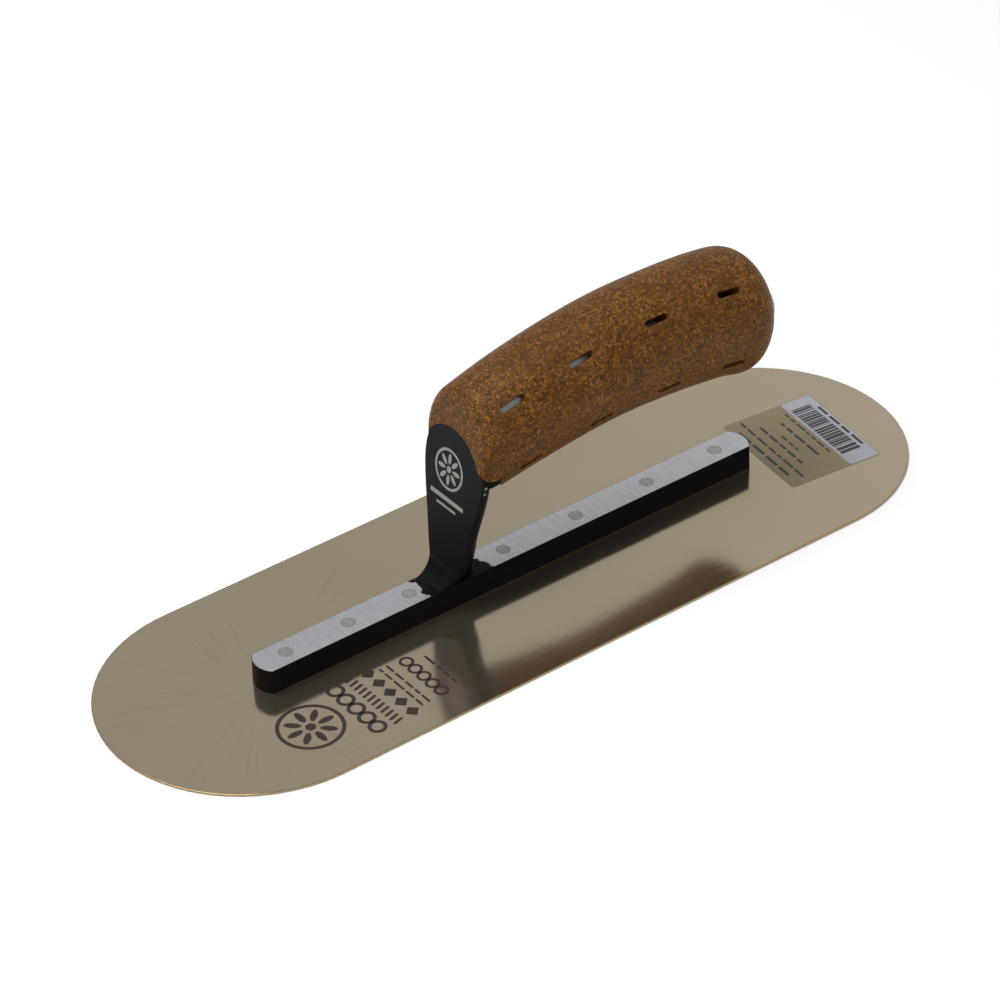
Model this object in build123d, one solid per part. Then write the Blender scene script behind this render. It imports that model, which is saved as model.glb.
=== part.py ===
from build123d import *
import math
import os

# A round-ended finishing trowel, in millimetres. The origin is the centre of the blade's
# working face, +X runs along the blade from the post end to the free end of the grip,
# and +Z points up through the grip.

# Blade: a thin spring-steel plate with half-round ends.
BLADE_LENGTH = 305.0
BLADE_WIDTH = 100.0
BLADE_THICKNESS = 0.6
BLADE_EDGE_ROUND = 0.2

# Bar: the cast rib that the blade is riveted to. Its ends are shallow arcs.
BAR_FRONT = -100.7
BAR_REAR = 96.0
BAR_TOP = 9.5
BAR_FOOT_WIDTH = 11.8
BAR_DRAFT_ANGLE = 1.3
BAR_END_BULGE = 2.5
BAR_CORNER_ROUND = 0.9
BAR_TOP_ROUND = 0.25

# Rivets: countersunk in the blade, headed over and ground flush on top of the bar.
RIVET_STATIONS = (-89.4, -65.5, -41.9, -4.5, 24.8, 54.3, 83.2)
RIVET_SHANK_RADIUS = 2.0
RIVET_LOWER_HEAD_RADIUS = 3.3
RIVET_UPPER_HEAD_RADIUS = 2.4
RIVET_LOWER_HEAD_DEPTH = 1.3
RIVET_UPPER_HEAD_DEPTH = 1.0

# Post: rises from the bar with a flat front that leans towards the grip. Its back is half
# an ellipse at every level, and its foot flares into the bar.
LEAN = 0.157
FRONT_STATION = -21.5
FRONT_STATION_HEIGHT = 56.8
POST_FRONT_PROUD = 0.05
POST_ROOT_DEPTH = 0.6
POST_FRONT_FLARE = 8.6
POST_REAR_FLARE = 1.6
POST_FOOT_HALF_WIDTH = 5.5
POST_FOOT_ANGLES = (0.0, 22.5, 45.0, 67.5, 90.0)
# (level above the blade's working face, half width of the front, depth behind the front)
POST_LEVELS = (
    (16.0, 7.7, 10.3),
    (24.0, 9.7, 9.9),
    (32.0, 11.6, 10.1),
    (40.0, 13.5, 10.3),
    (48.0, 14.75, 9.6),
    (53.0, 14.6, 8.8),
    (58.0, 13.4, 7.6),
    (63.5, 12.0, 5.6),
)
# Length of a cubic curve's handles, as a share of the radius, for a quarter of an ellipse.
QUARTER_HANDLE = 0.5523

# Grip: a bowed body of nearly round sections that lean with the post.
# (station along X, height of the section's centre, half height, half width)
GRIP_STATIONS = (
    (-28.0, 55.0, 19.1, 17.0),
    (-15.0, 58.6, 19.5, 17.4),
    (-2.0, 61.6, 19.8, 17.9),
    (12.0, 64.1, 20.1, 18.3),
    (26.0, 66.0, 20.3, 18.6),
    (40.0, 67.0, 20.5, 18.9),
    (53.0, 66.9, 20.7, 19.2),
    (65.0, 66.3, 20.9, 19.5),
    (75.0, 65.4, 21.1, 19.7),
    (82.5, 64.3, 21.2, 19.9),
    (87.6, 63.0, 21.2, 19.9),
)
GRIP_CAP_LENGTH = 13.4
GRIP_CAP_CENTRE_DROP = 4.0
GRIP_CAP_POWER = 1.7
GRIP_CAP_ANGLES = (14.0, 27.0, 39.0, 50.0, 59.0, 66.0)
GRIP_MOUTH_ROUND = 4.0

# Lip: how the front of the grip is cut away under the head, as (station, height) corners.
LIP_CORNERS = (
    (-40.0, 20.0),
    (-40.0, 48.5),
    (-15.5, 48.5),
    (-10.5, 42.0),
    (-9.5, 36.0),
    (-9.5, 20.0),
)
LIP_HALF_WIDTH = 30.0

# Head: the top of the post, flush with the grip. Its front is a shield with a round top, a
# little off centre, that curves out into a tab across the whole width of the grip.
HEAD_ARCH_RADIUS = 15.0
HEAD_ARCH_CENTRE = (2.3, 47.5)
HEAD_ARCH_BLEND = 9.0
HEAD_TAB_TOP = 51.6
HEAD_BACK = -15.6
HEAD_UNDERSIDE = 48.3

# Tang: the core inside the grip, which ends in a boss that shows behind the grip.
# (station along X, height of the section's centre, half height, half width)
TANG_STATIONS = (
    (-17.0, 58.0, 16.8, 14.8),
    (0.0, 62.0, 17.0, 15.2),
    (20.0, 65.3, 16.2, 14.6),
    (48.0, 66.9, 13.5, 12.2),
    (70.0, 66.0, 10.5, 9.8),
    (92.0, 61.6, 7.4, 7.4),
)
BOSS_RADIUS = 7.0
BOSS_CENTRE = (101.0, 59.2)
BOSS_LENGTH_INSIDE = 12.0
BOSS_LENGTH_PROUD = 1.9
BOSS_EDGE_ROUND = 0.8

# Slots through the grip to the tang, left by the pins that centre the tang in the mould.
SLOT_LENGTH = 9.0
SLOT_WIDTH = 2.1
SLOT_REACH = 30.0
UPPER_SLOT_STATIONS = (-7.9, 18.7, 48.4, 77.4)
LOWER_SLOT_STATIONS = (-4.2, 23.3, 50.2, 76.4)
UPPER_SLOT_ANGLE = 41.0
LOWER_SLOT_ANGLE = 118.0

# Label: a film stuck to the blade behind the bar, slightly askew.
LABEL_LENGTH = 35.5
LABEL_WIDTH = 42.0
LABEL_THICKNESS = 0.1
LABEL_CORNER_ROUND = 1.5
LABEL_CENTRE = (117.3, -4.3)
LABEL_TURN = -6.0

# Side of the blocks that cut the pieces: longer than any cut.
CUTTER_SIDE = 160.0


def stadium_plate():
    """The blade without its rivet holes."""
    outline = SlotOverall(BLADE_LENGTH, BLADE_WIDTH)
    plate = extrude(outline, BLADE_THICKNESS)
    rims = plate.faces().sort_by(Axis.Z)[-1].edges() + plate.faces().sort_by(Axis.Z)[0].edges()
    return fillet(rims, BLADE_EDGE_ROUND)


def riveting_bar():
    """The bar between the blade and the post: drafted sides and shallow round ends."""
    half = BAR_FOOT_WIDTH / 2
    front = BAR_FRONT + BAR_END_BULGE
    rear = BAR_REAR - BAR_END_BULGE
    outline = make_face(
        [
            Line((front, -half), (rear, -half)),
            ThreePointArc((rear, -half), (BAR_REAR, 0), (rear, half)),
            Line((rear, half), (front, half)),
            ThreePointArc((front, half), (BAR_FRONT, 0), (front, -half)),
        ]
    )
    outline = fillet(outline.vertices(), BAR_CORNER_ROUND)
    height = BAR_TOP - BLADE_THICKNESS
    bar = extrude(Pos(0, 0, BLADE_THICKNESS) * outline, height, taper=BAR_DRAFT_ANGLE)
    return fillet(bar.faces().sort_by(Axis.Z)[-1].edges(), BAR_TOP_ROUND)


def front_at(level):
    """Where the leaning front plane of the post and grip is, at a level."""
    return FRONT_STATION + LEAN * (level - FRONT_STATION_HEIGHT)


def behind_front_plane():
    """A block behind the leaning front plane."""
    origin = (FRONT_STATION, 0, FRONT_STATION_HEIGHT)
    plane = Plane(origin=origin, x_dir=(0, 1, 0), z_dir=(1, 0, -LEAN))
    return extrude(plane * Rectangle(CUTTER_SIDE, CUTTER_SIDE), CUTTER_SIDE)


def post_section(level, half_width, depth, toe=0.0):
    """A level section of the post: a straight front and half an ellipse behind it."""
    front = front_at(level) - POST_FRONT_PROUD - toe
    rear = front + depth + toe
    shoulder = front + (depth + toe) * QUARTER_HANDLE
    waist = half_width * QUARTER_HANDLE
    outline = [
        Line((front, half_width), (front, -half_width)),
        Bezier((front, -half_width), (shoulder, -half_width), (rear, -waist), (rear, 0)),
        Bezier((rear, 0), (rear, waist), (shoulder, half_width), (front, half_width)),
    ]
    return Pos(0, 0, level) * make_face(outline)


def post():
    """The post from its flared root in the bar to its top inside the head."""
    neck_level, neck_half_width, neck_depth = POST_LEVELS[0]
    root = BAR_TOP - POST_ROOT_DEPTH
    foot = []
    for angle in POST_FOOT_ANGLES:
        rise = 1 - math.cos(math.radians(angle))
        flare = 1 - math.sin(math.radians(angle))
        level = root + (neck_level - root) * rise
        half_width = POST_FOOT_HALF_WIDTH + (neck_half_width - POST_FOOT_HALF_WIDTH) * rise
        depth = neck_depth + POST_REAR_FLARE * flare
        foot.append(post_section(level, half_width, depth, POST_FRONT_FLARE * flare))
    return loft(foot) + loft([post_section(*values) for values in POST_LEVELS])


def leaning_ellipse(station, centre_height, half_height, half_width):
    """An upright section of the grip or tang, leaning back with the post."""
    plane = Plane(origin=(station, 0, centre_height), x_dir=(0, 1, 0), z_dir=(1, 0, -LEAN))
    return plane * Ellipse(half_width, half_height * math.hypot(1, LEAN))


def grip_body():
    """The outside of the grip, with a domed rear end cut flat around the boss."""
    sections = [leaning_ellipse(*values) for values in GRIP_STATIONS]
    start, centre_height, half_height, half_width = GRIP_STATIONS[-1]
    for angle in GRIP_CAP_ANGLES:
        along = math.sin(math.radians(angle)) ** (2 / GRIP_CAP_POWER)
        across = math.cos(math.radians(angle)) ** (2 / GRIP_CAP_POWER)
        sections.append(
            leaning_ellipse(
                start + GRIP_CAP_LENGTH * along,
                centre_height - GRIP_CAP_CENTRE_DROP * along,
                half_height * across,
                half_width * across,
            )
        )
    return loft(sections)


def moulding():
    """The grip and the head together: flat in front, with a rounded mouth and a cut-away lip."""
    body = grip_body() & behind_front_plane()
    mouth = body.faces().sort_by(Axis.X)[0].edges()
    lip = extrude(Plane.XZ * make_face(Polyline(*LIP_CORNERS, close=True)), LIP_HALF_WIDTH, both=True)
    return fillet(mouth, GRIP_MOUTH_ROUND) - lip


def metal_front():
    """The region that is metal at the front: a round arch, the tab and all below them."""
    arch = Pos(*HEAD_ARCH_CENTRE) * Circle(HEAD_ARCH_RADIUS)
    outline = arch + Pos(0, HEAD_TAB_TOP / 2) * Rectangle(CUTTER_SIDE, HEAD_TAB_TOP)
    corners = outline.vertices().filter_by(lambda corner: abs(corner.X) < 2 * HEAD_ARCH_RADIUS)
    outline = fillet(corners, HEAD_ARCH_BLEND)
    return extrude(Plane.YZ.offset(-CUTTER_SIDE) * outline, CUTTER_SIDE)


def head(body):
    """The part of the moulding that is metal, from its front back to a flat face."""
    place = (Align.MAX, Align.CENTER, Align.MIN)
    block = Box(CUTTER_SIDE, CUTTER_SIDE, CUTTER_SIDE, align=place)
    return body & metal_front() & Pos(HEAD_BACK, 0, HEAD_UNDERSIDE) * block


def tang():
    """The core inside the grip and the boss at its rear end."""
    core = loft([leaning_ellipse(*values) for values in TANG_STATIONS])
    station, height = BOSS_CENTRE
    plane = Plane(origin=(station, 0, height), x_dir=(0, 1, 0), z_dir=(1, 0, -LEAN))
    start = plane.offset(-BOSS_LENGTH_INSIDE)
    boss = extrude(start * Circle(BOSS_RADIUS), BOSS_LENGTH_INSIDE + BOSS_LENGTH_PROUD)
    boss = fillet(boss.edges().sort_by(Axis.X)[-1], BOSS_EDGE_ROUND)
    return core + boss


def rivet(station):
    """One rivet, flush with the blade's working face and with the top of the bar."""
    profile = Polyline(
        (0, 0),
        (RIVET_LOWER_HEAD_RADIUS, 0),
        (RIVET_SHANK_RADIUS, RIVET_LOWER_HEAD_DEPTH),
        (RIVET_SHANK_RADIUS, BAR_TOP - RIVET_UPPER_HEAD_DEPTH),
        (RIVET_UPPER_HEAD_RADIUS, BAR_TOP),
        (0, BAR_TOP),
        close=True,
    )
    return Pos(station, 0, 0) * revolve(Plane.XZ * make_face(profile), Axis.Z)


def grip_centre_height(station):
    """Height of the grip's centre line at a station, between the listed ones."""
    for before, after in zip(GRIP_STATIONS, GRIP_STATIONS[1:]):
        if station <= after[0]:
            share = (station - before[0]) / (after[0] - before[0])
            return before[1] + share * (after[1] - before[1])
    return GRIP_STATIONS[-1][1]


def slot_cutters():
    """Flat-sided cutters with round ends, from the grip's centre line out, on both sides."""
    cutters = []
    rows = ((UPPER_SLOT_STATIONS, UPPER_SLOT_ANGLE), (LOWER_SLOT_STATIONS, LOWER_SLOT_ANGLE))
    for stations, angle in rows:
        across = math.sin(math.radians(angle))
        up = math.cos(math.radians(angle))
        for station in stations:
            height = grip_centre_height(station)
            slope = grip_centre_height(station + 1) - grip_centre_height(station - 1)
            for side in (-1, 1):
                plane = Plane(
                    origin=(station, 0, height),
                    x_dir=(1, 0, slope / 2),
                    z_dir=(0, side * across, up),
                )
                cutters.append(extrude(plane * SlotOverall(SLOT_LENGTH, SLOT_WIDTH), SLOT_REACH))
    return cutters


def label():
    """The film label, stuck flat on the blade."""
    outline = RectangleRounded(LABEL_LENGTH, LABEL_WIDTH, LABEL_CORNER_ROUND)
    place = Pos(*LABEL_CENTRE, BLADE_THICKNESS) * Rot(0, 0, LABEL_TURN)
    return place * extrude(outline, LABEL_THICKNESS)


def build():
    """Builds every piece and returns it by name."""
    rivets = [rivet(station) for station in RIVET_STATIONS]
    body = moulding()
    metal = (post() & metal_front()) + head(body) + tang()

    blade = stadium_plate()
    mounting = riveting_bar() + metal
    for piece in rivets:
        blade -= piece
        mounting -= piece

    grip = body - metal
    for cutter in slot_cutters():
        grip -= cutter

    pieces = {"blade": blade, "mounting": mounting, "grip": grip, "label": label()}
    for number, piece in enumerate(rivets, start=1):
        pieces[f"rivet_{number}"] = piece
    return pieces


os.makedirs("parts", exist_ok=True)
for name, piece in build().items():
    export_step(piece, f"parts/{name}.step")
    print(name, "solids", len(piece.solids()), "volume", round(piece.volume, 1))
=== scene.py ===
"""A round-ended finishing trowel: its finishes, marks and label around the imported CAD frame."""

import logging
import math
import random
from dataclasses import dataclass
from enum import Enum

import bpy
from mathutils import Matrix, Vector


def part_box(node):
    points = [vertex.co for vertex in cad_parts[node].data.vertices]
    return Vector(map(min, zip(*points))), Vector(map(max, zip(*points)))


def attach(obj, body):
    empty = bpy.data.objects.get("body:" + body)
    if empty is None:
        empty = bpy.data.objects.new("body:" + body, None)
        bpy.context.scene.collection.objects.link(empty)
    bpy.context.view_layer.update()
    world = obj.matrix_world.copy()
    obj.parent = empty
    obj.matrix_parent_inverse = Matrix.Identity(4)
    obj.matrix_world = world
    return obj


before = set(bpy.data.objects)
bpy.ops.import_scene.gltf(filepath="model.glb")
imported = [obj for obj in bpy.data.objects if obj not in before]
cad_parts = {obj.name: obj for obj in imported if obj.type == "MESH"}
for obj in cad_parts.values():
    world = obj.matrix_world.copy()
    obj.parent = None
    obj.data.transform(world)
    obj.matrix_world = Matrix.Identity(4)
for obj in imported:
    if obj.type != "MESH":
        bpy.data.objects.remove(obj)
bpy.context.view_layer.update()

MM = 0.001
LOG = logging.getLogger("trowel")

Colour = tuple[float, float, float, float]
Spot = tuple[float, float, float]


class Slot(Enum):
    """Names for material slots, which nothing in this script uses."""

    BLADE_STEEL = "blade_steel"
    PAINTED_CASTING = "painted_casting"
    CORK_COMPOSITE = "cork_composite"
    LABEL_FILM = "label_film"
    RIVET_METAL = "rivet_metal"


# ---------------------------------------------------------------- shader helpers


def linear(hex_colour: str) -> Colour:
    """Turn an sRGB hex colour into the linear colour that a shader takes.

    Args:
        hex_colour: Six hex digits after a hash sign.

    Returns:
        Red, green, blue and an alpha of 1.
    """
    channels = [int(hex_colour[i:i + 2], 16) / 255 for i in (1, 3, 5)]
    curved = [c / 12.92 if c <= 0.04045 else ((c + 0.055) / 1.055) ** 2.4 for c in channels]
    return (curved[0], curved[1], curved[2], 1.0)


def per_mm(size: float) -> float:
    """The scale of a pattern, on coordinates in metres, whose features are size mm apart."""
    return 1 / (size * MM)


def add_node(
    tree: bpy.types.NodeTree, kind: str, settings: dict | None = None, links: dict | None = None
) -> bpy.types.Node:
    """Add a shader node with its settings and links.

    Args:
        tree: The material's or world's node tree.
        kind: The node's type name.
        settings: Values by name: a socket's name or index, or else the node's own property.
        links: Sockets to link from, by the name or index of the input they go to.

    Returns:
        The new node.
    """
    node = tree.nodes.new(kind)
    properties = {k: v for k, v in (settings or {}).items() if isinstance(k, str) and hasattr(node, k)}
    for name, value in properties.items():
        setattr(node, name, value)
    for name, value in (settings or {}).items():
        if name not in properties:
            node.inputs[name].default_value = value
    for name, socket in (links or {}).items():
        tree.links.new(socket, node.inputs[name])
    return node


def set_ramp(node: bpy.types.Node, stops: list[tuple[float, str]]) -> bpy.types.NodeSocket:
    """Set a colour ramp's stops.

    Args:
        node: A colour ramp node.
        stops: Positions from 0 to 1, each with its hex colour.

    Returns:
        The ramp's colour output.
    """
    elements = node.color_ramp.elements
    while len(elements) < len(stops):
        elements.new(1.0)
    for element, (position, colour) in zip(elements, stops):
        element.position = position
        element.color = linear(colour)
    return node.outputs["Color"]


def new_material(name: str) -> tuple[bpy.types.Material, bpy.types.NodeTree, bpy.types.Node]:
    """Make a material with an empty tree, an output and a Principled shader.

    Args:
        name: The material's name.

    Returns:
        The material, its node tree and its shader.
    """
    material = bpy.data.materials.new(name)
    material.use_nodes = True
    tree = material.node_tree
    tree.nodes.clear()
    shader = add_node(tree, "ShaderNodeBsdfPrincipled")
    add_node(tree, "ShaderNodeOutputMaterial", links={"Surface": shader.outputs[0]})
    return material, tree, shader


def nearest_axis_distance(
    tree: bpy.types.NodeTree, place: bpy.types.NodeSocket, centres: list[tuple[float, float]]
) -> bpy.types.NodeSocket:
    """Measure the level distance from the nearest of several upright axes.

    Args:
        tree: The material's node tree.
        place: Object coordinates.
        centres: The axes' X and Y in metres.

    Returns:
        The distance in metres.
    """
    level = add_node(
        tree, "ShaderNodeVectorMath", {"operation": "MULTIPLY", 1: (1, 1, 0)}, {0: place}
    ).outputs[0]
    nearest = None
    for x, y in centres:
        distance = add_node(
            tree, "ShaderNodeVectorMath", {"operation": "DISTANCE", 1: (x, y, 0)}, {0: level}
        ).outputs["Value"]
        if nearest is None:
            nearest = distance
            continue
        nearest = add_node(
            tree, "ShaderNodeMath", {"operation": "MINIMUM"}, {0: nearest, 1: distance}
        ).outputs[0]
    return nearest


# ---------------------------------------------------------------- finishes


@dataclass(frozen=True)
class GoldTintedSpringSteel:
    """Stainless spring steel with a gold tint, belt-polished to a fine satin mirror.

    Near things mirror sharply in it and far ones blur; the tint is warm and drifts slowly.
    """

    half_length: float
    half_width: float
    streak_centre: float
    tint: str = "#C3B39C"
    deep_tint: str = "#BAAA91"
    streak: str = "#8C6A45"
    painted_rim_reflection: str = "#A89068"
    # Pattern sizes in millimetres: the tint's clouds, and the satin lines' length and spacing.
    cloud: float = 60.0
    satin_length: float = 14.0
    satin_spacing: float = 0.5
    roughness: tuple[float, float] = (0.09, 0.15)
    # Streaks: lines to a radian, their length in millimetres, and where they fade out.
    streak_count: float = 22.0
    streak_length: float = 45.0
    streak_fade: tuple[float, float] = (30 * MM, 75 * MM)
    streak_strength: float = 0.16
    # Where the painted reflection along the rounded rim starts and where it is full, inwards from the edge.
    painted_rim_reflection_insets: tuple[float, float] = (0.5 * MM, 0.2 * MM)

    def build(self) -> bpy.types.Material:
        """Build the material of the blade.

        Returns:
            The material.
        """
        material, tree, shader = new_material("gold_tinted_spring_steel")
        place = add_node(tree, "ShaderNodeTexCoord").outputs["Object"]
        axes = add_node(tree, "ShaderNodeSeparateXYZ", links={0: place})
        cloud = add_node(
            tree, "ShaderNodeTexNoise", {"Scale": per_mm(self.cloud), "Detail": 4.0}, {"Vector": place}
        )
        tone = add_node(
            tree, "ShaderNodeMix",
            {"data_type": "RGBA", 6: linear(self.tint), 7: linear(self.deep_tint)},
            {"Factor": cloud.outputs["Fac"]},
        ).outputs[2]
        # Straight drying streaks that fan out from the front of the bar.
        streaks = self.streak_mask(tree, axes)
        tone = add_node(
            tree, "ShaderNodeMix", {"data_type": "RGBA", 7: linear(self.streak)}, {"Factor": streaks, 6: tone}
        ).outputs[2]
        # Painted reflection: the rounded rim's gold edge line is drawn into the colour.
        tone = add_node(
            tree, "ShaderNodeMix", {"data_type": "RGBA", 7: linear(self.painted_rim_reflection)},
            {"Factor": self.painted_rim_reflection_mask(tree, axes), 6: tone},
        ).outputs[2]
        tree.links.new(tone, shader.inputs["Base Color"])
        # Satin lines of the polishing belt, drawn coarser than they are so that they show.
        grain = add_node(
            tree, "ShaderNodeMapping",
            {"Scale": (per_mm(self.satin_length), per_mm(self.satin_spacing), per_mm(5))}, {0: place},
        )
        satin = add_node(
            tree, "ShaderNodeTexNoise", {"Scale": 1.0, "Detail": 3.0}, {"Vector": grain.outputs[0]}
        )
        rough = add_node(
            tree, "ShaderNodeMapRange",
            {"From Min": 0.3, "From Max": 0.7, "To Min": self.roughness[0], "To Max": self.roughness[1]},
            {"Value": satin.outputs["Fac"]},
        )
        tree.links.new(rough.outputs[0], shader.inputs["Roughness"])
        relief = add_node(
            tree, "ShaderNodeBump", {"Strength": 0.05, "Distance": 0.02 * MM},
            {"Height": satin.outputs["Fac"]},
        )
        tree.links.new(relief.outputs[0], shader.inputs["Normal"])
        shader.inputs["Metallic"].default_value = 0.94
        return material

    def streak_mask(self, tree: bpy.types.NodeTree, axes: bpy.types.Node) -> bpy.types.NodeSocket:
        """Mask thin, faint lines that radiate from one point.

        Args:
            tree: The material's node tree.
            axes: The separated object coordinates.

        Returns:
            The mask, from 0 to the streaks' strength.
        """
        ahead = add_node(
            tree, "ShaderNodeMath", {"operation": "SUBTRACT", 1: self.streak_centre}, {0: axes.outputs["X"]}
        ).outputs[0]
        angle = add_node(
            tree, "ShaderNodeMath", {"operation": "ARCTAN2"}, {0: axes.outputs["Y"], 1: ahead}
        ).outputs[0]
        arm = add_node(tree, "ShaderNodeCombineXYZ", links={"X": ahead, "Y": axes.outputs["Y"]})
        radius = add_node(
            tree, "ShaderNodeVectorMath", {"operation": "LENGTH"}, {0: arm.outputs[0]}
        ).outputs["Value"]
        fan = add_node(tree, "ShaderNodeCombineXYZ", links={"X": angle, "Y": radius})
        spread = add_node(
            tree, "ShaderNodeMapping",
            {"Scale": (self.streak_count, per_mm(self.streak_length), 1)}, {0: fan.outputs[0]},
        )
        lines = add_node(
            tree, "ShaderNodeTexNoise", {"Scale": 1.0, "Detail": 1.0}, {"Vector": spread.outputs[0]}
        )
        thin = add_node(
            tree, "ShaderNodeMapRange", {"From Min": 0.6, "From Max": 0.74, "To Max": self.streak_strength},
            {"Value": lines.outputs["Fac"]},
        ).outputs[0]
        near, far = self.streak_fade
        fade = add_node(
            tree, "ShaderNodeMapRange", {"From Min": near, "From Max": far, "To Min": 1.0, "To Max": 0.0},
            {"Value": radius},
        ).outputs[0]
        return add_node(tree, "ShaderNodeMath", {"operation": "MULTIPLY"}, {0: thin, 1: fade}).outputs[0]

    def painted_rim_reflection_mask(self, tree: bpy.types.NodeTree, axes: bpy.types.Node) -> bpy.types.NodeSocket:
        """Mask the last half millimetre of the blade, drawn a little darker and browner as a painted
        reflection of its rounded rim.

        Args:
            tree: The material's node tree.
            axes: The separated object coordinates.

        Returns:
            The mask, from 0 to 1.
        """
        along = add_node(tree, "ShaderNodeMath", {"operation": "ABSOLUTE"}, {0: axes.outputs["X"]}).outputs[0]
        straight = self.half_length - self.half_width
        past = add_node(
            tree, "ShaderNodeMath", {"operation": "SUBTRACT", 1: straight}, {0: along}
        ).outputs[0]
        past = add_node(tree, "ShaderNodeMath", {"operation": "MAXIMUM", 1: 0.0}, {0: past}).outputs[0]
        arm = add_node(tree, "ShaderNodeCombineXYZ", links={"X": past, "Y": axes.outputs["Y"]})
        out = add_node(
            tree, "ShaderNodeVectorMath", {"operation": "LENGTH"}, {0: arm.outputs[0]}
        ).outputs["Value"]
        start, full = (self.half_width - inset for inset in self.painted_rim_reflection_insets)
        return add_node(
            tree, "ShaderNodeMapRange", {"From Min": start, "From Max": full}, {"Value": out}
        ).outputs[0]


@dataclass(frozen=True)
class BlackCoatedCasting:
    """Cast aluminium in a satin black powder coat, ground bare where the rivets were dressed.

    The coat is near black with a faint orange peel; the ground top is pale and brushed across,
    with stray diagonal scratches, and the coat's edge beside the post is ragged.
    """

    bar_top: float
    patch: tuple[float, float]
    bare_from: float
    chips: tuple[Spot, ...]
    coat: str = "#060506"
    coat_light: str = "#0B090C"
    bare: str = "#DADBDF"
    bare_dark: str = "#A7A8AD"
    painted_blade_reflection: str = "#453B22"
    # How bare the tang looks inside the slots, where it is duller than the ground top.
    tang_share: float = 0.7
    # Pattern sizes in millimetres: the orange peel, the coat's clouds and its torn edge.
    peel: float = 0.9
    cloud: float = 9.0
    tear: float = 3.5
    # How far the torn edge wanders to either side.
    tear_reach: float = 4.5 * MM
    coat_roughness: tuple[float, float] = (0.34, 0.44)
    # From a scratch to the brightest metal.
    bare_roughness: tuple[float, float] = (0.46, 0.36)
    # Painted reflection: a warm brown line along the bar's foot stands in for the gold blade mirrored in the
    # coat, and fades out between these heights.
    painted_reflection_fade: tuple[float, float] = (0.8 * MM, 1.0 * MM)
    chip_fade: tuple[float, float] = (0.3 * MM, 0.6 * MM)

    def build(self) -> bpy.types.Material:
        """Build the material of the casting.

        Returns:
            The material.
        """
        material, tree, shader = new_material("black_coated_cast_aluminium")
        coordinates = add_node(tree, "ShaderNodeTexCoord")
        place = coordinates.outputs["Object"]
        axes = add_node(tree, "ShaderNodeSeparateXYZ", links={0: place})
        bare = self.bare_mask(tree, coordinates, axes)
        peel = add_node(
            tree, "ShaderNodeTexNoise", {"Scale": per_mm(self.peel), "Detail": 2.0}, {"Vector": place}
        )
        cloud = add_node(
            tree, "ShaderNodeTexNoise", {"Scale": per_mm(self.cloud), "Detail": 3.0}, {"Vector": place}
        )
        coat = add_node(
            tree, "ShaderNodeMix",
            {"data_type": "RGBA", 6: linear(self.coat), 7: linear(self.coat_light)},
            {"Factor": cloud.outputs["Fac"]},
        ).outputs[2]
        # Painted reflection of the gold blade along the bar's foot.
        low, high = self.painted_reflection_fade
        painted_reflection_line = add_node(
            tree, "ShaderNodeMapRange", {"From Min": low, "From Max": high, "To Min": 1.0, "To Max": 0.0},
            {"Value": axes.outputs["Z"]},
        ).outputs[0]
        coat = add_node(
            tree, "ShaderNodeMix", {"data_type": "RGBA", 7: linear(self.painted_blade_reflection)}, {"Factor": painted_reflection_line, 6: coat}
        ).outputs[2]
        # The ground top's lines carry the painted light gradient along the bar.
        brushed = ground_lines_with_painted_light(tree, place)
        metal = add_node(
            tree, "ShaderNodeMix",
            {"data_type": "RGBA", 6: linear(self.bare_dark), 7: linear(self.bare)}, {"Factor": brushed},
        ).outputs[2]
        colour = add_node(tree, "ShaderNodeMix", {"data_type": "RGBA"}, {"Factor": bare, 6: coat, 7: metal})
        tree.links.new(colour.outputs[2], shader.inputs["Base Color"])
        tree.links.new(bare, shader.inputs["Metallic"])
        smooth, dull = self.coat_roughness
        coat_rough = add_node(
            tree, "ShaderNodeMapRange", {"From Min": 0.3, "From Max": 0.7, "To Min": smooth, "To Max": dull},
            {"Value": cloud.outputs["Fac"]},
        ).outputs[0]
        scratched, bright = self.bare_roughness
        bare_rough = add_node(
            tree, "ShaderNodeMapRange", {"To Min": scratched, "To Max": bright}, {"Value": brushed}
        ).outputs[0]
        rough = add_node(tree, "ShaderNodeMix", {}, {"Factor": bare, 2: coat_rough, 3: bare_rough})
        tree.links.new(rough.outputs[0], shader.inputs["Roughness"])
        height = add_node(tree, "ShaderNodeMix", {}, {"Factor": bare, 2: peel.outputs["Fac"], 3: brushed})
        relief = add_node(
            tree, "ShaderNodeBump", {"Strength": 0.25, "Distance": 0.03 * MM}, {"Height": height.outputs[0]}
        )
        tree.links.new(relief.outputs[0], shader.inputs["Normal"])
        shader.inputs["Specular IOR Level"].default_value = 0.08
        return material

    def bare_mask(
        self, tree: bpy.types.NodeTree, coordinates: bpy.types.Node, axes: bpy.types.Node
    ) -> bpy.types.NodeSocket:
        """Mask the bare metal: the bar's ground top, the tang in the grip and two chips.

        Args:
            tree: The material's node tree.
            coordinates: The texture coordinates node.
            axes: The separated object coordinates.

        Returns:
            The mask, from 0 to 1.
        """
        place = coordinates.outputs["Object"]
        facing = add_node(
            tree, "ShaderNodeSeparateXYZ", links={0: coordinates.outputs["Normal"]}
        ).outputs["Z"]
        up = add_node(tree, "ShaderNodeMath", {"operation": "GREATER_THAN", 1: 0.95}, {0: facing}).outputs[0]
        level = add_node(
            tree, "ShaderNodeMath", {"operation": "COMPARE", 1: self.bar_top, 2: 0.05 * MM},
            {0: axes.outputs["Z"]},
        ).outputs[0]
        top = add_node(tree, "ShaderNodeMath", {"operation": "MULTIPLY"}, {0: up, 1: level}).outputs[0]
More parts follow.
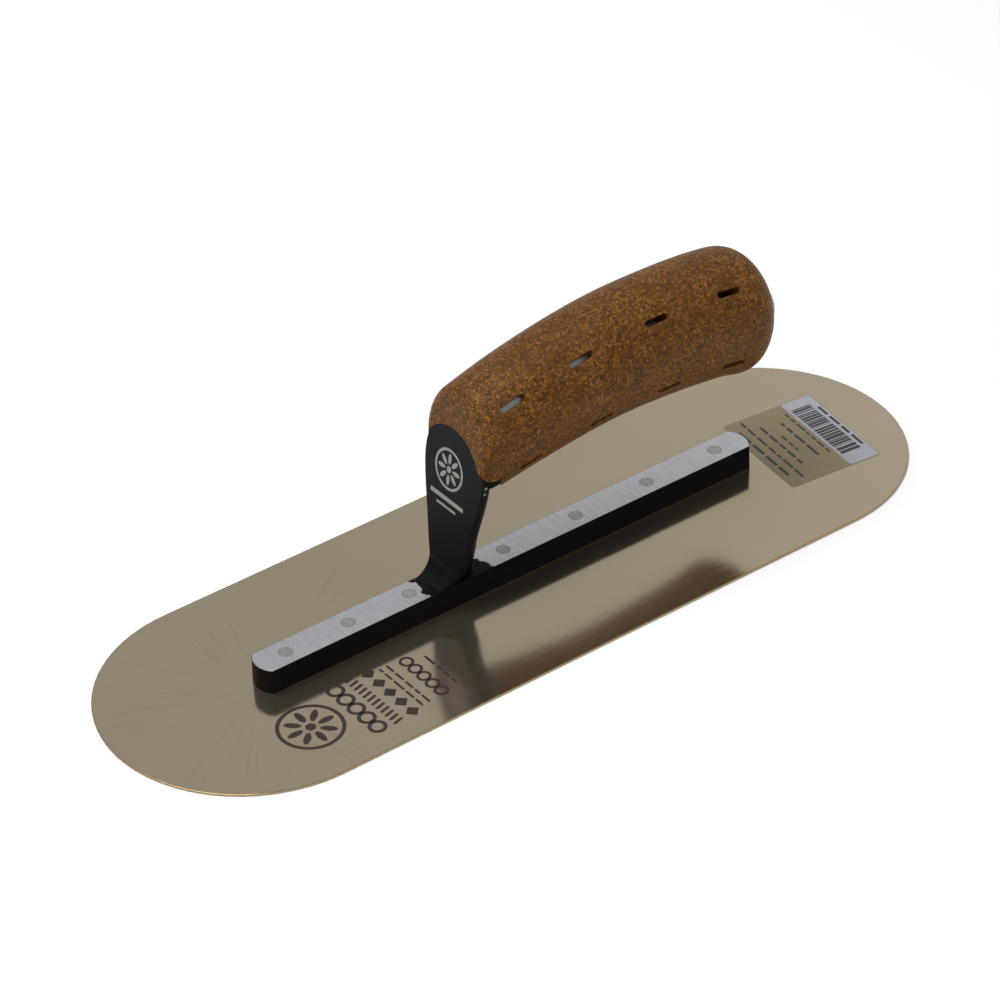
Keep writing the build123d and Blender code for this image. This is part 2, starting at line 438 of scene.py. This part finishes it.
        # The coat that the grinder missed around the post, with a torn edge.
        tear = add_node(
            tree, "ShaderNodeTexNoise", {"Scale": per_mm(self.tear), "Detail": 4.0}, {"Vector": place}
        )
        shift = add_node(
            tree, "ShaderNodeMapRange", {"To Min": -self.tear_reach, "To Max": self.tear_reach},
            {"Value": tear.outputs["Fac"]},
        ).outputs[0]
        torn = add_node(
            tree, "ShaderNodeMath", {"operation": "ADD"}, {0: axes.outputs["X"], 1: shift}
        ).outputs[0]
        middle = (self.patch[0] + self.patch[1]) / 2
        half = (self.patch[1] - self.patch[0]) / 2
        kept = add_node(
            tree, "ShaderNodeMath", {"operation": "COMPARE", 1: middle, 2: half}, {0: torn}
        ).outputs[0]
        top = add_node(
            tree, "ShaderNodeMath", {"operation": "SUBTRACT", "use_clamp": True}, {0: top, 1: kept}
        ).outputs[0]
        # The tang lies behind the post and well above the bar.
        behind = add_node(
            tree, "ShaderNodeMath", {"operation": "GREATER_THAN", 1: self.bare_from}, {0: axes.outputs["X"]}
        ).outputs[0]
        high = add_node(
            tree, "ShaderNodeMath", {"operation": "GREATER_THAN", 1: 3 * self.bar_top}, {0: axes.outputs["Z"]}
        ).outputs[0]
        mask = add_node(tree, "ShaderNodeMath", {"operation": "MULTIPLY"}, {0: behind, 1: high}).outputs[0]
        mask = add_node(
            tree, "ShaderNodeMath", {"operation": "MULTIPLY", 1: self.tang_share}, {0: mask}
        ).outputs[0]
        mask = add_node(tree, "ShaderNodeMath", {"operation": "MAXIMUM"}, {0: mask, 1: top}).outputs[0]
        for chip in self.chips:
            away = add_node(
                tree, "ShaderNodeVectorMath", {"operation": "DISTANCE", 1: chip}, {0: place}
            ).outputs["Value"]
            core, edge = self.chip_fade
            spot = add_node(
                tree, "ShaderNodeMapRange",
                {"From Min": core, "From Max": edge, "To Min": 1.0, "To Max": 0.0}, {"Value": away},
            ).outputs[0]
            mask = add_node(tree, "ShaderNodeMath", {"operation": "MAXIMUM"}, {0: mask, 1: spot}).outputs[0]
        return mask


# The ground metal's ends along X, and its brightness there without its lines: a gradient of painted light.
PAINTED_LIGHT_SPAN = (-100 * MM, 95 * MM)
PAINTED_LIGHT_GRADIENT = (0.04, 0.56)


def ground_lines_with_painted_light(tree: bpy.types.NodeTree, place: bpy.types.NodeSocket) -> bpy.types.NodeSocket:
    """Grinding lines straight across the bar with stray diagonal scratches over them, and a painted light
    gradient along the bar.

    Args:
        tree: The material's node tree.
        place: Object coordinates.

    Returns:
        The brightness, from nearly 0 in a scratch at the front of the bar, where painted shade darkens it, to
        1.
    """
    # Real grinding lines are finer than this: they are drawn 0.4 mm apart so that they show.
    across = add_node(
        tree, "ShaderNodeMapping", {"Scale": (per_mm(0.4), per_mm(9), per_mm(2))}, {0: place}
    )
    lines = add_node(
        tree, "ShaderNodeTexNoise", {"Scale": 1.0, "Detail": 3.0}, {"Vector": across.outputs[0]}
    )
    turned = add_node(
        tree, "ShaderNodeMapping",
        {"Rotation": (0, 0, math.radians(-35)), "Scale": (per_mm(0.6), per_mm(14), per_mm(2))},
        {0: place},
    )
    strays = add_node(
        tree, "ShaderNodeTexNoise", {"Scale": 1.0, "Detail": 2.0}, {"Vector": turned.outputs[0]}
    )
    cuts = add_node(
        tree, "ShaderNodeMapRange", {"From Min": 0.6, "From Max": 0.72, "To Min": 1.0, "To Max": 0.55},
        {"Value": strays.outputs["Fac"]},
    ).outputs[0]
    contrast = add_node(
        tree, "ShaderNodeMapRange", {"From Min": 0.3, "From Max": 0.7}, {"Value": lines.outputs["Fac"]}
    ).outputs[0]
    lines = add_node(tree, "ShaderNodeMath", {"operation": "MULTIPLY"}, {0: contrast, 1: cuts}).outputs[0]
    # Painted light: the bare metal is drawn brighter from the front of the bar to its rear, standing in for
    # how the light falls along it.
    front, rear = PAINTED_LIGHT_SPAN
    painted_shade_level, clear = PAINTED_LIGHT_GRADIENT
    axes = add_node(tree, "ShaderNodeSeparateXYZ", links={0: place})
    drift = add_node(
        tree, "ShaderNodeMapRange", {"From Min": front, "From Max": rear, "To Min": painted_shade_level, "To Max": clear},
        {"Value": axes.outputs["X"]},
    ).outputs[0]
    return add_node(
        tree, "ShaderNodeMath", {"operation": "MULTIPLY_ADD", 1: 1 - clear}, {0: lines, 2: drift}
    ).outputs[0]


@dataclass(frozen=True)
class GroundRivetSteel:
    """Zinc-plated steel rivets ground flush with the bar: duller and warmer than the aluminium."""

    centres: tuple[tuple[float, float], ...]
    head_radius: float = 2.4 * MM
    bright: str = "#C6C2C3"
    dull: str = "#827E7F"
    seam: str = "#3A3836"
    seam_width: float = 0.35 * MM

    def build(self) -> bpy.types.Material:
        """Build the material of the rivets.

        Returns:
            The material.
        """
        material, tree, shader = new_material("ground_zinc_plated_rivet")
        place = add_node(tree, "ShaderNodeTexCoord").outputs["Object"]
        # The rivets' lines carry the same painted light gradient along the bar.
        lines = ground_lines_with_painted_light(tree, place)
        tone = add_node(
            tree, "ShaderNodeMix",
            {"data_type": "RGBA", 6: linear(self.dull), 7: linear(self.bright)}, {"Factor": lines},
        ).outputs[2]
        # A dark line of polishing dirt sits in the joint around each head.
        away = nearest_axis_distance(tree, place, list(self.centres))
        joint = add_node(
            tree, "ShaderNodeMapRange",
            {"From Min": self.head_radius - self.seam_width, "From Max": self.head_radius, "To Max": 0.6},
            {"Value": away},
        ).outputs[0]
        tone = add_node(
            tree, "ShaderNodeMix", {"data_type": "RGBA", 7: linear(self.seam)}, {"Factor": joint, 6: tone}
        ).outputs[2]
        tree.links.new(tone, shader.inputs["Base Color"])
        rough = add_node(tree, "ShaderNodeMapRange", {"To Min": 0.6, "To Max": 0.48}, {"Value": lines})
        tree.links.new(rough.outputs[0], shader.inputs["Roughness"])
        relief = add_node(tree, "ShaderNodeBump", {"Strength": 0.2, "Distance": 0.03 * MM}, {"Height": lines})
        tree.links.new(relief.outputs[0], shader.inputs["Normal"])
        shader.inputs["Metallic"].default_value = 1.0
        return material


@dataclass(frozen=True)
class CorkComposite:
    """Cork granules bound in resin and moulded: brown, with golden flecks and a soft sheen."""

    grains: tuple[tuple[float, str], ...] = (
        (0.0, "#402610"), (0.2, "#4D2F10"), (0.5, "#583610"), (0.8, "#613D12"), (1.0, "#6C481A"),
    )
    fleck: str = "#96692B"
    pore: str = "#362114"
    # Pattern sizes in millimetres: granules, flecks, pores and where flecks gather.
    granule: float = 0.9
    fleck_size: float = 0.62
    pore_size: float = 0.7
    drift: float = 12.0
    # How far the granules' edges are torn.
    tear: float = 0.7 * MM

    def build(self) -> bpy.types.Material:
        """Build the material of the grip.

        Returns:
            The material.
        """
        material, tree, shader = new_material("cork_granule_composite")
        place = add_node(tree, "ShaderNodeTexCoord").outputs["Object"]
        # Torn granules: a noise as coarse as they are bends the cells' coordinates.
        bend = add_node(
            tree, "ShaderNodeTexNoise", {"Scale": per_mm(self.granule), "Detail": 2.0}, {"Vector": place}
        )
        push = add_node(
            tree, "ShaderNodeVectorMath", {"operation": "SCALE", "Scale": self.tear},
            {0: bend.outputs["Color"]},
        ).outputs[0]
        torn = add_node(tree, "ShaderNodeVectorMath", {"operation": "ADD"}, {0: place, 1: push}).outputs[0]
        granule = add_node(tree, "ShaderNodeTexVoronoi", {"Scale": per_mm(self.granule)}, {"Vector": torn})
        shade = add_node(tree, "ShaderNodeSeparateColor", links={0: granule.outputs["Color"]}).outputs[0]
        ramp = add_node(tree, "ShaderNodeValToRGB", links={"Fac": shade})
        colour = set_ramp(ramp, list(self.grains))
        # Golden flecks of clean cork, thick in some places and thin in others.
        chip = add_node(tree, "ShaderNodeTexVoronoi", {"Scale": per_mm(self.fleck_size)}, {"Vector": torn})
        draw = add_node(tree, "ShaderNodeSeparateColor", links={0: chip.outputs["Color"]}).outputs[1]
        drift = add_node(
            tree, "ShaderNodeTexNoise", {"Scale": per_mm(self.drift), "Detail": 3.0}, {"Vector": place}
        )
        density = add_node(
            tree, "ShaderNodeMapRange",
            {"From Min": 0.35, "From Max": 0.65, "To Min": -0.12, "To Max": 0.1},
            {"Value": drift.outputs["Fac"]},
        ).outputs[0]
        chance = add_node(tree, "ShaderNodeMath", {"operation": "ADD"}, {0: draw, 1: density}).outputs[0]
        golden = add_node(
            tree, "ShaderNodeMapRange", {"From Min": 0.74, "From Max": 0.9, "To Max": 0.75}, {"Value": chance}
        ).outputs[0]
        core = add_node(
            tree, "ShaderNodeMapRange",
            {"From Min": 0.4, "From Max": 0.7, "To Min": 1.0, "To Max": 0.0},
            {"Value": chip.outputs["Distance"]},
        ).outputs[0]
        golden = add_node(
            tree, "ShaderNodeMath", {"operation": "MULTIPLY"}, {0: golden, 1: core}
        ).outputs[0]
        colour = add_node(
            tree, "ShaderNodeMix", {"data_type": "RGBA", 7: linear(self.fleck)}, {"Factor": golden, 6: colour}
        ).outputs[2]
        # Dark pores between the granules.
        speck = add_node(
            tree, "ShaderNodeTexNoise", {"Scale": per_mm(self.pore_size), "Detail": 3.0}, {"Vector": place}
        )
        pores = add_node(
            tree, "ShaderNodeMapRange", {"From Min": 0.6, "From Max": 0.75, "To Max": 0.38},
            {"Value": speck.outputs["Fac"]},
        ).outputs[0]
        colour = add_node(
            tree, "ShaderNodeMix", {"data_type": "RGBA", 7: linear(self.pore)}, {"Factor": pores, 6: colour}
        ).outputs[2]
        tree.links.new(colour, shader.inputs["Base Color"])
        rough = add_node(
            tree, "ShaderNodeMapRange", {"To Min": 0.42, "To Max": 0.6}, {"Value": drift.outputs["Fac"]}
        )
        shader.inputs["Specular IOR Level"].default_value = 0.16
        tree.links.new(rough.outputs[0], shader.inputs["Roughness"])
        height = add_node(
            tree, "ShaderNodeMath", {"operation": "SUBTRACT"}, {0: granule.outputs["Distance"], 1: pores}
        )
        relief = add_node(
            tree, "ShaderNodeBump", {"Strength": 0.35, "Distance": 0.08 * MM}, {"Height": height.outputs[0]}
        )
        tree.links.new(relief.outputs[0], shader.inputs["Normal"])
        return material


@dataclass(frozen=True)
class MottledCoat:
    """A thin film, paper or ink: two close tones in a fine mottle, with its own roughness."""

    name: str
    light: str
    dark: str
    mottle: float
    roughness: float
    metallic: float = 0.0

    def build(self) -> bpy.types.Material:
        """Build the material of the film, paper or ink.

        Returns:
            The material.
        """
        material, tree, shader = new_material(self.name)
        place = add_node(tree, "ShaderNodeTexCoord").outputs["Object"]
        fine = add_node(
            tree, "ShaderNodeTexNoise", {"Scale": per_mm(self.mottle), "Detail": 4.0}, {"Vector": place}
        ).outputs["Fac"]
        tone = add_node(
            tree, "ShaderNodeMix",
            {"data_type": "RGBA", 6: linear(self.light), 7: linear(self.dark)}, {"Factor": fine},
        ).outputs[2]
        tree.links.new(tone, shader.inputs["Base Color"])
        rough = add_node(
            tree, "ShaderNodeMapRange",
            {"To Min": self.roughness - 0.08, "To Max": self.roughness + 0.08}, {"Value": fine},
        )
        tree.links.new(rough.outputs[0], shader.inputs["Roughness"])
        relief = add_node(tree, "ShaderNodeBump", {"Strength": 0.1, "Distance": 0.01 * MM}, {"Height": fine})
        tree.links.new(relief.outputs[0], shader.inputs["Normal"])
        shader.inputs["Metallic"].default_value = self.metallic
        return material


# Clear varnish film over the gold steel, a little darker and yellower than the blade.
LABEL_FILM = MottledCoat(
    "clear_gold_label_film", "#8E8167", "#867757", mottle=6.0, roughness=0.36, metallic=0.35
)
# Coated white paper.
LABEL_PAPER = MottledCoat("coated_label_paper", "#9FA0A8", "#9798A0", mottle=2.0, roughness=0.5)
# Thermal print, near black.
LABEL_INK = MottledCoat("black_label_ink", "#2E292B", "#3A3436", mottle=0.6, roughness=0.5)
# Marks burnt into the steel by a laser: matt dark brown.
LASER_MARK = MottledCoat(
    "laser_burnt_steel", "#2C211C", "#382A23", mottle=0.8, roughness=0.5, metallic=0.3
)
# Pad-printed silver ink on the post.
SILVER_INK = MottledCoat("silver_pad_print", "#8C8985", "#7D7A76", mottle=0.7, roughness=0.5)


# ---------------------------------------------------------------- mesh helpers


def dress(piece: bpy.types.Object, material: bpy.types.Material) -> None:
    """Give a piece one material in place of any that it has."""
    piece.data.materials.clear()
    piece.data.materials.append(material)


def select_only(pieces: list[bpy.types.Object]) -> None:
    """Select some pieces and nothing else, with the first of them active.

    Args:
        pieces: The pieces to select.
    """
    bpy.ops.object.select_all(action="DESELECT")
    for piece in pieces:
        piece.select_set(True)
    bpy.context.view_layer.objects.active = pieces[0]


def settle(piece: bpy.types.Object, place: Matrix) -> None:
    """Move a piece by a matrix and put the move into its mesh.

    Args:
        piece: The piece.
        place: The move, after any that the piece already has.
    """
    select_only([piece])
    piece.matrix_world = place @ piece.matrix_world
    bpy.ops.object.transform_apply(location=True, rotation=True, scale=True)


def disc(radius: float, corners: int, x: float = 0.0, y: float = 0.0) -> bpy.types.Object:
    """Add a flat disc, or with 4 corners a lozenge.

    Args:
        radius: Its outer radius.
        corners: How many corners its outline has.
        x: Its centre's X.
        y: Its centre's Y.

    Returns:
        The disc.
    """
    bpy.ops.object.select_all(action="DESELECT")
    bpy.ops.mesh.primitive_circle_add(vertices=corners, radius=radius, fill_type="NGON", location=(x, y, 0))
    return bpy.context.active_object


def ring(radius: float, width: float, x: float = 0.0, y: float = 0.0) -> bpy.types.Object:
    """Add a flat ring: a disc inset by the ring's width, without its middle.

    Args:
        radius: Its outer radius.
        width: The width of its band.
        x: Its centre's X.
        y: Its centre's Y.

    Returns:
        The ring.
    """
    piece = disc(radius, 40, x, y)
    bpy.ops.object.mode_set(mode="EDIT")
    bpy.ops.mesh.select_all(action="SELECT")
    bpy.ops.mesh.inset(thickness=width, depth=0.0)
    bpy.ops.mesh.delete(type="FACE")
    bpy.ops.object.mode_set(mode="OBJECT")
    return piece


# The largest corner radius of a strip.
STRIP_CORNER = 1.2 * MM


def strip(length: float, width: float, x: float, y: float, turn: float = 0.0) -> bpy.types.Object:
    """Add a flat strip along X with rounded corners.

    Args:
        length: Its length along X before it is turned.
        width: Its width.
        x: Its centre's X.
        y: Its centre's Y.
        turn: How far it is turned, in degrees.

    Returns:
        The strip.
    """
    bpy.ops.object.select_all(action="DESELECT")
    bpy.ops.mesh.primitive_plane_add(size=1.0)
    piece = bpy.context.active_object
    bpy.ops.object.mode_set(mode="EDIT")
    bpy.ops.mesh.select_all(action="SELECT")
    bpy.ops.transform.resize(value=(length, width, 1))
    bpy.ops.mesh.bevel(affect="VERTICES", offset=min(0.3 * min(width, length), STRIP_CORNER), segments=3)
    bpy.ops.object.mode_set(mode="OBJECT")
    settle(piece, Matrix.Translation((x, y, 0)) @ Matrix.Rotation(math.radians(turn), 4, "Z"))
    return piece


def rosette(radius: float, band: float, petals: int, x: float, y: float) -> list[bpy.types.Object]:
    """Add a plain rosette: a ring, a hub and slim petals between them.

    Args:
        radius: The ring's outer radius.
        band: The ring's width.
        petals: How many petals it has.
        x: Its centre's X.
        y: Its centre's Y.

    Returns:
        Its flat pieces.
    """
    pieces = [ring(radius, band, x, y), disc(radius * 0.16, 24, x, y)]
    reach = radius * 0.52
    for number in range(petals):
        petal = disc(radius * 0.26, 20)
        petal.scale = (1.0, 0.42, 1.0)
        spin = Matrix.Rotation(2 * math.pi * number / petals, 4, "Z")
        settle(petal, Matrix.Translation((x, y, 0)) @ spin @ Matrix.Translation((reach, 0, 0)))
        pieces.append(petal)
    return pieces


def dashes(length: float, height: float, x: float, y: float, rng: random.Random) -> list[bpy.types.Object]:
    """Add a row of plain dashes of uneven length along Y, in place of a line of print.

    Args:
        length: The row's length along Y.
        height: The height of the line of print along X; the dashes fill the middle of it.
        x: The row's centre in X.
        y: The row's centre in Y.
        rng: The source of the dashes' lengths.

    Returns:
        The dashes.
    """
    pieces = []
    start = -length / 2
    while start < length / 2 - height:
        end = min(start + rng.uniform(1.3, 3.6) * height, length / 2)
        pieces.append(strip(0.52 * height, end - start, x, y + (start + end) / 2))
        start = end + 0.6 * height
    return pieces


def finish_flat(
    parts: list[bpy.types.Object], name: str, thickness: float, place: Matrix,
    finish: MottledCoat
) -> None:
    """Join flat parts, thicken them upwards, lay them in place and attach them to the root.

    Args:
        parts: Flat pieces around the origin that face up.
        name: The finished piece's name.
        thickness: How far it stands up.
        place: Where it goes.
        finish: Its finish.
    """
    select_only(parts)
    if len(parts) > 1:
        bpy.ops.object.join()
    piece = bpy.context.active_object
    piece.name = name
    bpy.ops.object.transform_apply(location=True, rotation=True, scale=True)
    solidify = piece.modifiers.new("thickness", "SOLIDIFY")
    solidify.thickness = thickness
    solidify.offset = 1.0
    bpy.ops.object.modifier_apply(modifier=solidify.name)
    settle(piece, place)
    dress(piece, finish.build())
    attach(piece, "root")
    LOG.info("%s: %d faces", name, len(piece.data.polygons))


# ---------------------------------------------------------------- sub-assemblies


@dataclass
class Blade:
    """The gold-tinted blade and the marks burnt into it, which are plain ornaments."""

    mark_depth: float = 0.02 * MM
    rosette_place: tuple[float, float] = (-98.5 * MM, -26.0 * MM)
    rosette_radius: float = 11.0 * MM
    rows_middle: float = -27.5 * MM
    chain_station: float = -82.4 * MM
    hatch_station: float = -75.8 * MM
    lozenge_station: float = -69.6 * MM
    small_stations: tuple[float, ...] = (-65.4 * MM, -62.7 * MM)
    second_chain_station: float = -56.6 * MM
    last_station: float = -50.5 * MM

    def build(self) -> None:
        """Dress the blade and add its marks."""
        low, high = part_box("blade")
        bar_low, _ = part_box("mounting")
        finish = GoldTintedSpringSteel(high[0], high[1], bar_low[0])
        dress(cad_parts["blade"], finish.build())
        x, y = self.rosette_place
        parts = rosette(self.rosette_radius, band=1.3 * MM, petals=8, x=x, y=y)
        parts += self.chain(self.chain_station, count=5, radius=3.1 * MM, pitch=5.6 * MM)
        parts += self.hatch()
        for y in self.spots(count=5, pitch=5.9 * MM):
            parts.append(disc(radius=2.5 * MM, corners=4, x=self.lozenge_station, y=y))
        rng = random.Random(11)
        for station in self.small_stations:
            parts += dashes(length=23 * MM, height=1.6 * MM, x=station, y=self.rows_middle, rng=rng)
        parts += self.chain(self.second_chain_station, count=5, radius=2.5 * MM, pitch=4.6 * MM)
        parts += dashes(length=18 * MM, height=1.7 * MM, x=self.last_station, y=self.rows_middle, rng=rng)
        top = Matrix.Translation((0, 0, high[2]))
        finish_flat(parts, "blade_marks", self.mark_depth, top, LASER_MARK)

    def spots(self, count: int, pitch: float) -> list[float]:
        """Even places along Y about the rows' middle."""
        return [self.rows_middle + (number - (count - 1) / 2) * pitch for number in range(count)]

    def chain(self, station: float, count: int, radius: float, pitch: float) -> list[bpy.types.Object]:
        """A row of flat rings that overlap a little."""
        return [ring(radius, 0.4 * radius, station, y) for y in self.spots(count, pitch)]

    def hatch(self) -> list[bpy.types.Object]:
        """A row of slanted strokes."""
        places = self.spots(count=12, pitch=2.35 * MM)
        return [strip(3.9 * MM, 1.05 * MM, self.hatch_station, y, turn=14) for y in places]


@dataclass
class Mounting:
    """The casting's bar, post and tang, with the rivets and the ornament on the post."""

    bar_top: float = 9.5 * MM
    lean: float = 0.157
    front_foot: Spot = (-21.5 * MM, 0.0, 56.8 * MM)
    coat_patch: tuple[float, float] = (-37.5 * MM, -13.5 * MM)
    bare_from: float = -14.5 * MM
    chips: tuple[Spot, ...] = ((-21.0 * MM, -14.5 * MM, 48.8 * MM), (-21.4 * MM, -14.4 * MM, 46.7 * MM))
    ink_depth: float = 0.08 * MM

    def build(self) -> None:
        """Dress the casting and its rivets, and print the post."""
        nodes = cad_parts
        casting = BlackCoatedCasting(self.bar_top, self.coat_patch, self.bare_from, self.chips)
        dress(nodes["mounting"], casting.build())
        rivets = sorted(name for name in nodes if name.startswith("rivet_"))
        centres = []
        for name in rivets:
            low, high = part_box(name)
            centres.append(((low[0] + high[0]) / 2, (low[1] + high[1]) / 2))
        steel = GroundRivetSteel(tuple(centres)).build()
        for name in rivets:
            dress(nodes[name], steel)
        self.print_post()

    def print_post(self) -> None:
        """Print a rosette and two plain strokes on the post's leaning front."""
        up = Vector((self.lean, 0, 1)).normalized()
        across = Vector((0, -1, 0))
        out = across.cross(up)
        place = Matrix((across, up, out)).transposed().to_4x4()
        place.translation = Vector(self.front_foot)
        parts = rosette(radius=7.2 * MM, band=0.9 * MM, petals=8, x=-2.2 * MM, y=-9.0 * MM)
        parts += [
            strip(length=17.0 * MM, width=1.5 * MM, x=-1.8 * MM, y=-19.6 * MM),
            strip(length=10.0 * MM, width=0.9 * MM, x=-1.8 * MM, y=-22.4 * MM),
        ]
        finish_flat(parts, "post_marks", self.ink_depth, place, SILVER_INK)


@dataclass
class Grip:
    """The moulded cork composite grip."""

    def build(self) -> None:
        """Dress the grip."""
        dress(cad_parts["grip"], CorkComposite().build())


@dataclass
class Label:
    """The clear gold label with its dashes, and the paper strip stuck along its outer edge."""

    centre: tuple[float, float] = (117.3 * MM, -4.3 * MM)
    turn: float = -6.0
    print_height: float = 0.02 * MM
    # (place along the label, start and end across it, height of the print)
    lines: tuple[tuple[float, float, float, float], ...] = (
        (-14.9, 16.4, -14.6, 2.1),
        (-11.3, 19.6, -17.9, 1.7),
        (-7.2, 13.7, -11.3, 1.9),
        (-4.0, 6.5, -4.5, 1.6),
        (0.15, 11.9, -10.2, 2.0),
        (4.3, 16.2, -10.8, 1.5),
    )
    paper_edges: tuple[float, float] = (5.9, 17.5)
    paper_width: float = 41.6
    stripe_ends: tuple[float, float] = (6.9, 14.6)
    stripe_span: tuple[float, float] = (16.0, -14.0)
    number_station: float = 16.2

    def build(self) -> None:
        """Dress the film and add the strip and the print."""
        dress(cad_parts["label"], LABEL_FILM.build())
        low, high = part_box("label")
        rng = random.Random(5)
        spin = Matrix.Rotation(math.radians(self.turn), 4, "Z")
        place = Matrix.Translation((*self.centre, high[2])) @ spin
        parts = []
        for x, start, end, height in self.lines:
            parts += dashes((start - end) * MM, height * MM, x * MM, (start + end) / 2 * MM, rng)
        finish_flat(parts, "label_print", self.print_height, place, LABEL_INK)
        inner, outer = self.paper_edges
        paper = [strip((outer - inner) * MM, self.paper_width * MM, (inner + outer) / 2 * MM, 0.0)]
        finish_flat(paper, "label_strip", self.print_height, place, LABEL_PAPER)
        upper = Matrix.Translation((0, 0, self.print_height)) @ place
        finish_flat(self.stripes(rng), "strip_print", self.print_height, upper, LABEL_INK)

    def stripes(self, rng: random.Random) -> list[bpy.types.Object]:
        """Uneven stripes across the strip and a row of dashes beside them.

        Args:
            rng: The source of the stripes' widths and gaps.

        Returns:
            The flat stripes and dashes.
        """
        start, end = self.stripe_ends
        y, last = self.stripe_span
        parts = []
        while y > last:
            width = rng.choice((0.3, 0.6, 1.1, 1.6))
            parts.append(strip((end - start) * MM, width * MM, (start + end) / 2 * MM, (y - width / 2) * MM))
            y -= width + rng.choice((0.3, 0.45, 0.8))
        return parts + dashes(
            length=28 * MM, height=2.0 * MM, x=self.number_station * MM, y=1.0 * MM, rng=rng
        )


@dataclass
class Studio:
    """The floor, the lights and the camera."""

    camera_place: Spot = (-0.60284, -0.82540, 0.76288)
    camera_aim: Spot = (0.0187, 0.0330, 0.0)
    camera_roll: float = -1.92
    lens: float = 142.2

    def build(self) -> None:
        """Build the studio."""
        self.add_camera()
        self.add_floor()
        self.add_lights()

    def add_camera(self) -> None:
        """Add the camera, without depth of field or shift."""
        data = bpy.data.cameras.new("camera")
        data.lens = self.lens
        data.sensor_width = 36.0
        data.clip_end = 20.0
        camera = bpy.data.objects.new("camera", data)
        bpy.context.scene.collection.objects.link(camera)
        look = Vector(self.camera_aim) - Vector(self.camera_place)
        roll = Matrix.Rotation(math.radians(self.camera_roll), 3, "Z")
        turn = look.to_track_quat("-Z", "Y").to_matrix() @ roll
        camera.matrix_world = Matrix.Translation(self.camera_place) @ turn.to_4x4()
        bpy.context.scene.camera = camera

    def add_floor(self) -> None:
        """Add the plain pale floor just under the blade."""
        bpy.ops.object.select_all(action="DESELECT")
        bpy.ops.mesh.primitive_plane_add(size=8.0, location=(0, 0, -0.2 * MM))
        floor = bpy.context.active_object
        floor.name = "studio_floor"
        material, tree, shader = new_material("pale_floor")
        shader.inputs["Base Color"].default_value = linear("#F4F4F4")
        shader.inputs["Roughness"].default_value = 0.9
        dress(floor, material)

    def add_lights(self) -> None:
        """Add the soft surround and two softboxes."""
        world = bpy.data.worlds.new("soft_surround")
        bpy.context.scene.world = world
        world.use_nodes = True
        tree = world.node_tree
        background = tree.nodes["Background"]
        background.inputs["Color"].default_value = (0.5, 0.5, 0.5, 1)
        # The surround grows a little brighter beyond the heel.
        towards = add_node(tree, "ShaderNodeTexCoord").outputs["Generated"]
        axes = add_node(tree, "ShaderNodeSeparateXYZ", links={0: towards})
        glow = add_node(
            tree, "ShaderNodeMapRange", {"From Min": 0.44, "From Max": 0.56, "To Min": 1.0, "To Max": 1.35},
            {"Value": axes.outputs["X"]},
        )
        tree.links.new(glow.outputs[0], background.inputs["Strength"])
        self.add_softbox("key", place=(-0.5, 0.3, 1.6), size=1.0, power=21.0)
        self.add_softbox("fill", place=(-1.2, -1.0, 1.2), size=1.2, power=5.0)
        bpy.context.scene.view_settings.view_transform = "Standard"

    def add_softbox(self, name: str, place: Spot, size: float, power: float) -> None:
        """Add a square area light aimed at the object.

        Args:
            name: The light's name.
            place: Where it stands, in metres.
            size: The length of its side, in metres.
            power: Its power in watts.
        """
        data = bpy.data.lights.new(name, "AREA")
        data.size = size
        data.energy = power
        light = bpy.data.objects.new(name, data)
        bpy.context.scene.collection.objects.link(light)
        turn = (Vector((0, 0, 0.03)) - Vector(place)).to_track_quat("-Z", "Y")
        light.matrix_world = Matrix.Translation(place) @ turn.to_matrix().to_4x4()


def main() -> None:
    """Build the trowel's looks in order."""
    logging.basicConfig(level=logging.INFO)
    for part in (Studio(), Blade(), Mounting(), Grip(), Label()):
        part.build()
        LOG.info("%s is built", type(part).__name__)


if __name__ == "__main__":
    main()
